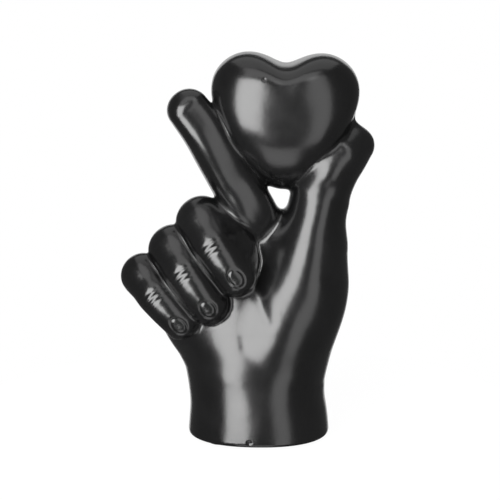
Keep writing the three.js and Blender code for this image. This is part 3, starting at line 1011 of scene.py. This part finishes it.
@dataclass(frozen=True)
class Glaze:
    """Satin black glaze: a dark body under a smooth, slightly uneven gloss with pinholes and a few flaws.

    Attributes:
        thin: Its colour where it is thin.
        gloss: Mean roughness.
        cloudy: How much the roughness changes in clouds.
        grainy: How much it changes in fine grain.
        clouds: How wide a cloud is, in metres.
        grains: How wide a grain is, in metres.
        tones: Values of clouds and grain between which the colour goes from thick to thin.
        relief: Depth of the unevenness, in metres.
        pinhole_gap: How far apart the cells lie of which some have a pinhole, in metres.
    """

    colour: tuple[float, float, float] = (0.004, 0.004, 0.0042)
    thin: tuple[float, float, float] = (0.008, 0.008, 0.0083)
    gloss: float = 0.22
    cloudy: float = 0.12
    grainy: float = 0.03
    clouds: float = 0.022
    grains: float = 0.0016
    tones: tuple[float, float] = (0.38, 0.66)
    index: float = 1.9
    relief: float = 0.0001
    pinhole_gap: float = 0.016
    pinhole_width: float = 0.034
    pinhole_share: tuple[float, float] = (0.78, 0.8)
    marks: tuple[Mark, ...] = (
        Mark((3.0, -21.0, 189.8), 0.9, 0.3),
        Mark((-4.5, -31.0, 2.6), 1.1, 0.3),
        Mark((-3.7, -30.0, 37.8), 0.6, 0.12),
        Mark((10.6, -29.0, 71.2), 0.9, -0.12),
    )

    def _flaws(self, nodes: Nodes, placement: Placement) -> Socket:
        """Sink the glaze at its marks.

        Args:
            nodes: The material's nodes.
            placement: Where the figure stands.

        Returns:
            How deep, in parts of the relief's depth.
        """
        depths = []
        for mark in self.marks:
            ends = {0: nodes.place(), 1: tuple(placement.to_frame(np.array(mark.place)))}
            far = nodes.add("ShaderNodeVectorMath", {"operation": "DISTANCE"}, ends, "Value")
            depths.append((1 - far.ramp(0.0, mark.radius * 2 * MM)) * (mark.depth * MM / self.relief))
        return sum(depths[1:], depths[0])

    def material(self, placement: Placement) -> bpy.types.Material:
        """Make the glaze.

        Args:
            placement: Where the figure stands, for the marks.

        Returns:
            The material.
        """
        made, nodes = new_material("black_glaze")
        cloud = nodes.noise(self.clouds, 3.0, 0.55)
        grain = nodes.noise(self.grains, 2.0, 0.6, 0.3)
        cells = {"Vector": nodes.place(), "Scale": 1 / self.pinhole_gap}
        spots = nodes.add("ShaderNodeTexVoronoi", values=cells, out="Distance")
        pick = nodes.add("ShaderNodeTexVoronoi", values=cells, out="Color")
        share = nodes.add("ShaderNodeSeparateColor", values={0: pick}, out="Red")
        hole = (1 - spots.ramp(0.0, self.pinhole_width)) * share.ramp(*self.pinhole_share)
        tone = (cloud * 0.7 + grain * 0.3).ramp(*self.tones)
        waves = nodes.noise(0.02, 1.0, 0.4, 0.5) * 3.0 + nodes.noise(0.007, 2.0, 0.5, 0.7) * 0.6
        height = waves + grain * 0.1 - hole * 2.0 - self._flaws(nodes, placement)
        bump = nodes.add("ShaderNodeBump", values={"Height": height, "Distance": self.relief})
        least = self.gloss - (self.cloudy + self.grainy) / 2
        surface = {
            "Base Color": nodes.blend(tone, self.colour, self.thin),
            "Roughness": cloud * self.cloudy + grain * self.grainy + hole * 0.3 + least,
            "IOR": self.index,
            "Normal": bump,
        }
        shader = nodes.add("ShaderNodeBsdfPrincipled", values=surface)
        nodes.add("ShaderNodeOutputMaterial", values={"Surface": shader})
        return made


@dataclass(frozen=True)
class Felt:
    """Pressed black felt: short fibres that lie every way.

    Attributes:
        worn: Its colour where it is rubbed pale.
        fibres: How wide a fibre is, in metres.
        mats: How wide the denser places are, in metres.
    """

    colour: tuple[float, float, float] = (0.012, 0.012, 0.013)
    worn: tuple[float, float, float] = (0.028, 0.028, 0.03)
    fibres: float = 0.0005
    mats: float = 0.003

    def material(self) -> bpy.types.Material:
        """Make the felt.

        Returns:
            The material.
        """
        made, nodes = new_material("black_felt")
        fibre = nodes.noise(self.fibres, 4.0, 0.7)
        mat = nodes.noise(self.mats, 2.0, 0.5, 0.4)
        bump = nodes.add("ShaderNodeBump", values={"Height": fibre, "Distance": 0.0002, "Strength": 0.9})
        surface = {
            "Base Color": nodes.blend((fibre * 0.6 + mat * 0.4).ramp(0.3, 0.7), self.colour, self.worn),
            "Roughness": 0.9 + mat * 0.1,
            "Sheen Weight": 0.25,
            "Normal": bump,
        }
        shader = nodes.add("ShaderNodeBsdfPrincipled", values=surface)
        nodes.add("ShaderNodeOutputMaterial", values={"Surface": shader})
        return made


@dataclass(frozen=True)
class FeltPad:
    """A felt disc under the foot, whose edge bulges a little."""

    corner: Corner
    rings: int = 22
    turns: int = 96
    edge_rings: int = 7
    bulge: float = 0.12

    def build(self, material: bpy.types.Material) -> None:
        """Carry the disc's half profile round its axis and dress it.

        The profile runs from the middle of the underside over the edge to the middle of the top: with s from
        -1 to 1 over the thickness, the edge lies at the radius less the bulge times s squared.

        Args:
            material: The felt.
        """
        node = f"felt_pad_{self.corner.value}"
        low, high = (np.array(v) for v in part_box(node))
        centre, radius, thick = (low + high) / 2, (high[0] - low[0]) / 2, high[2] - low[2]
        edge = np.linspace(-1, 1, self.edge_rings)
        flat = np.linspace(0, 1, self.rings)[:-1]
        rim = radius - self.bulge * MM * edge**2
        reach = np.concatenate([flat * rim[0], rim, flat[::-1] * rim[-1]])
        rise = np.concatenate([np.full(len(flat), -1.0), edge, np.full(len(flat), 1.0)])
        angle = np.linspace(0, 2 * np.pi, self.turns, endpoint=False)
        grid = np.stack([
            centre[0] + reach[1:-1, None] * np.cos(angle),
            centre[1] + reach[1:-1, None] * np.sin(angle),
            centre[2] + thick / 2 * rise[1:-1, None] * np.ones_like(angle)], axis=-1)
        points = np.vstack([grid.reshape(-1, 3), [*centre[:2], low[2]], [*centre[:2], high[2]]])
        faces = ring_faces(grid.shape[0], self.turns)
        piece = add_mesh(f"{node}_felt", points, faces, material)
        register(piece, node)


def ring_faces(rows: int, turns: int) -> np.ndarray:
    """Triangles of a closed tube of rows by turns vertices, with its two poles as the last two vertices.

    Args:
        rows: How many rings there are.
        turns: Vertices in each ring.

    Returns:
        The triangles, facing outwards where rings run upwards and turn anticlockwise.
    """
    row, turn = np.meshgrid(np.arange(rows - 1), np.arange(turns), indexing="ij")
    a, b = row * turns + turn, row * turns + (turn + 1) % turns
    c, d = b + turns, a + turns
    sides = np.concatenate([np.stack([a, b, c], -1).reshape(-1, 3), np.stack([a, c, d], -1).reshape(-1, 3)])
    here = np.arange(turns)
    there = (here + 1) % turns
    first, last = rows * turns, rows * turns + 1
    top = (rows - 1) * turns
    under = np.stack([np.full(turns, first), there, here], -1)
    over = np.stack([np.full(turns, last), top + here, top + there], -1)
    return np.vstack([sides, under, over])


@dataclass(frozen=True)
class SoftBox:
    """A studio light seen from the figure: where it lies round it, its size in metres and its brightness."""

    name: str
    azimuth: float
    elevation: float
    away: float
    width: float
    height: float
    brightness: float

    def build(self, centre: Vector) -> None:
        """Hang the light so that it faces the centre.

        Azimuth is from the camera's side, positive to the right, and both angles are in degrees.

        Args:
            centre: What the light faces, in metres.
        """
        a, e = math.radians(self.azimuth), math.radians(self.elevation)
        back = Vector((math.sin(a) * math.cos(e), -math.cos(a) * math.cos(e), math.sin(e)))
        lamp = bpy.data.lights.new(self.name, "AREA")
        lamp.shape = "RECTANGLE"
        lamp.size, lamp.size_y = self.width, self.height
        lamp.energy = self.brightness * math.pi * self.width * self.height
        light = bpy.data.objects.new(self.name, lamp)
        light.location = centre + back * self.away
        light.rotation_mode = "QUATERNION"
        light.rotation_quaternion = back.to_track_quat("Z", "Y")
        bpy.context.scene.collection.objects.link(light)


@dataclass(frozen=True)
class Studio:
    """Pale floor, white backdrop, softboxes and the camera at the photograph's angle.

    Attributes:
        stand: Radius of the floor.
        backdrop: Half the size of the backdrop, which hangs behind the figure by behind.
        seen: The middle of the figure. The camera looks to the right of it by aside and above it by raised.
        glow: Strength of what is white to the camera.
        shade: Share of the floor that takes shadows.
        room: Strength of the dim room that lights the figure.
    """

    stand: float = 0.16
    backdrop: float = 0.7
    behind: float = 1.5
    elevation: float = 14.0
    distance: float = 1.2
    lens: float = 167.6
    seen: tuple[float, float, float] = (0.0, 0.0, 100.0)
    aside: float = -4.12
    raised: float = -2.78
    glow: float = 1.1
    shade: float = 0.12
    room: float = 0.1
    lights: tuple[SoftBox, ...] = (
        SoftBox("softbox_left", -26.0, 9.4, 2.2, 1.3, 2.53, 4.7),
        SoftBox("softbox_right", 26.0, 8.0, 2.0, 0.84, 3.8, 0.85),
        SoftBox("softbox_top", -8.0, 60.0, 2.2, 1.8, 1.0, 0.8),
        SoftBox("ceiling", 0.0, 106.0, 2.2, 2.6, 2.4, 0.42),
        SoftBox("reflector_low", -6.0, -49.0, 2.2, 1.2, 1.1, 0.85),
    )

    def camera(self, placement: Placement) -> None:
        """Set the camera up: it looks down at the hand by its elevation, a little off its middle.

        Args:
            placement: Where the figure stands.
        """
        e = math.radians(self.elevation)
        back = Vector((0, -math.cos(e), math.sin(e)))
        up = Vector((0, math.sin(e), math.cos(e)))
        seen = Vector(placement.to_frame(np.array(self.seen)))
        target = seen + Vector((1, 0, 0)) * self.aside * MM + up * self.raised * MM
        eye = bpy.data.cameras.new("camera")
        eye.lens, eye.sensor_width = self.lens, 36.0
        camera = bpy.data.objects.new("camera", eye)
        camera.location = target + back * self.distance
        camera.rotation_mode = "QUATERNION"
        camera.rotation_quaternion = back.to_track_quat("Z", "Y")
        bpy.context.scene.collection.objects.link(camera)
        bpy.context.scene.camera = camera

    def _white(self, name: str) -> bpy.types.Material:
        """Make a white that has a share of pale matt for shadows and is clear in reflections.

        Args:
            name: The material's name.

        Returns:
            The material.
        """
        made, nodes = new_material(name)
        seen = nodes.add("ShaderNodeLightPath", out="Is Camera Ray")
        mirrored = nodes.add("ShaderNodeLightPath", out="Is Glossy Ray")
        pale = nodes.add("ShaderNodeBsdfDiffuse", values={"Color": (0.8, 0.8, 0.8, 1.0)})
        white = nodes.add("ShaderNodeEmission", values={"Color": WHITE, "Strength": self.glow})
        clear = nodes.add("ShaderNodeBsdfTransparent")
        both = nodes.add("ShaderNodeMixShader", values={0: seen * (1 - self.shade), 1: pale, 2: white})
        both = nodes.add("ShaderNodeMixShader", values={0: mirrored, 1: both, 2: clear})
        nodes.add("ShaderNodeOutputMaterial", values={"Surface": both})
        return made

    def floor(self) -> None:
        """Lay a small round pale floor under the figure, as rings of a disc."""
        angle = np.linspace(0, 2 * np.pi, 128, endpoint=False)
        rim = np.stack([np.cos(angle), np.sin(angle), np.zeros_like(angle)], axis=-1) * self.stand
        points = np.vstack([rim, [0, 0, 0]])
        here = np.arange(len(angle))
        faces = np.stack([here, (here + 1) % len(angle), np.full(len(angle), len(angle))], axis=-1)
        add_mesh("floor", points, faces, self._white("pale_floor"))

    def wall(self) -> None:
        """Hang a white backdrop behind the figure, which its glaze shows at the edges."""
        r, y = self.backdrop, self.behind
        points = np.array([(-r, y, -r), (r, y, -r), (r, y, r), (-r, y, r)])
        made, nodes = new_material("white_backdrop")
        rays = ("Camera", "Glossy", "Transmission")
        path = [nodes.add("ShaderNodeLightPath", out=f"Is {ray} Ray") for ray in rays]
        strength = sum(path[1:], path[0])
        white = nodes.add("ShaderNodeEmission", values={"Color": WHITE, "Strength": strength})
        nodes.add("ShaderNodeOutputMaterial", values={"Surface": white})
        add_mesh("backdrop", points, np.array([[0, 1, 2, 3]]), made)

    def world(self) -> None:
        """A dim room round the figure that the camera sees as white."""
        world = bpy.data.worlds.new("studio")
        world.use_nodes = True
        bpy.context.scene.world = world
        nodes = Nodes(world.node_tree)
        path = nodes.add("ShaderNodeLightPath", out="Is Camera Ray")
        strength = path * (1 - self.room) + self.room
        back = nodes.add("ShaderNodeBackground", values={"Color": WHITE, "Strength": strength})
        nodes.add("ShaderNodeOutputWorld", values={"Surface": back})

    def build(self, placement: Placement) -> None:
        """Set up all that stands round the figure.

        Args:
            placement: Where the figure stands.
        """
        self.camera(placement)
        self.floor()
        self.wall()
        self.world()
        for light in self.lights:
            light.build(Vector(placement.to_frame(np.array(self.seen))))
        bpy.context.scene.view_settings.view_transform = "Standard"


def castings() -> list[Casting]:
    """Set out the figure's parts.

    Returns:
        The six castings in the order in which they are fitted.
    """
    heart = Heart()
    fingers = [
        Finger(
            "middle_finger", (-7.8, 11, 101.2), (-29.6, -9.6, 115.4), (17.5, 20.6), 32.5,
            (13, 10.6, 10.2, 9.4), (19.2, -1.2, 5.0, 3.6),
            shoulder=((-17, -9, 112, 9.5), (-10.5, -14, 102, 9.5), (-8.5, -14, 95, 9))),
        Finger(
            "ring_finger", (-21.9, 11, 86), (-44.2, -9.5, 100.8), (16.9, 21.6), 33.5,
            (12.5, 10.2, 9.9, 9.1), (21.2, 0.2, 4.6, 3.7)),
        Finger(
            "little_finger", (-36.6, 10, 71.8), (-59.8, -8.5, 86.7), (15.2, 20.0), 40.5,
            (11.5, 9, 8.9, 8.3), (19.2, 0.6, 4.8, 3.4)),
    ]
    made = [
        ("heart", heart.field(), 1.6, 1.0, (-28, -28, 122), (55, 27, 205)),
        ("hand_shell", Hand().field(heart, fingers), 2.0, 0.9, (-58, -34, -1), (62, 34, 166)),
        ("index_finger", Forefinger().field(heart), 2.2, 0.7, (-49, -28, 84), (20, 26, 188)),
    ]
    for finger in fingers:
        joints, reach = finger.joints(), finger.radii[0] + 1
        made.append((finger.name, finger.field(), 2.4, 0.45, joints.min(0) - reach, joints.max(0) + reach))
    return [Casting(*row[:4], np.array(row[4], float), np.array(row[5], float)) for row in made]


def main() -> None:
    """Build the castings, the felt discs and the studio."""
    logging.basicConfig(level=logging.INFO, format="%(name)s: %(message)s")
    placement = Placement()
    Figure(castings()).build(placement, Glaze().material(placement), "black_glaze")
    felt = Felt().material()
    for corner in Corner:
        FeltPad(corner).build(felt)
    Studio().build(placement)


if __name__ == "__main__":
    main()
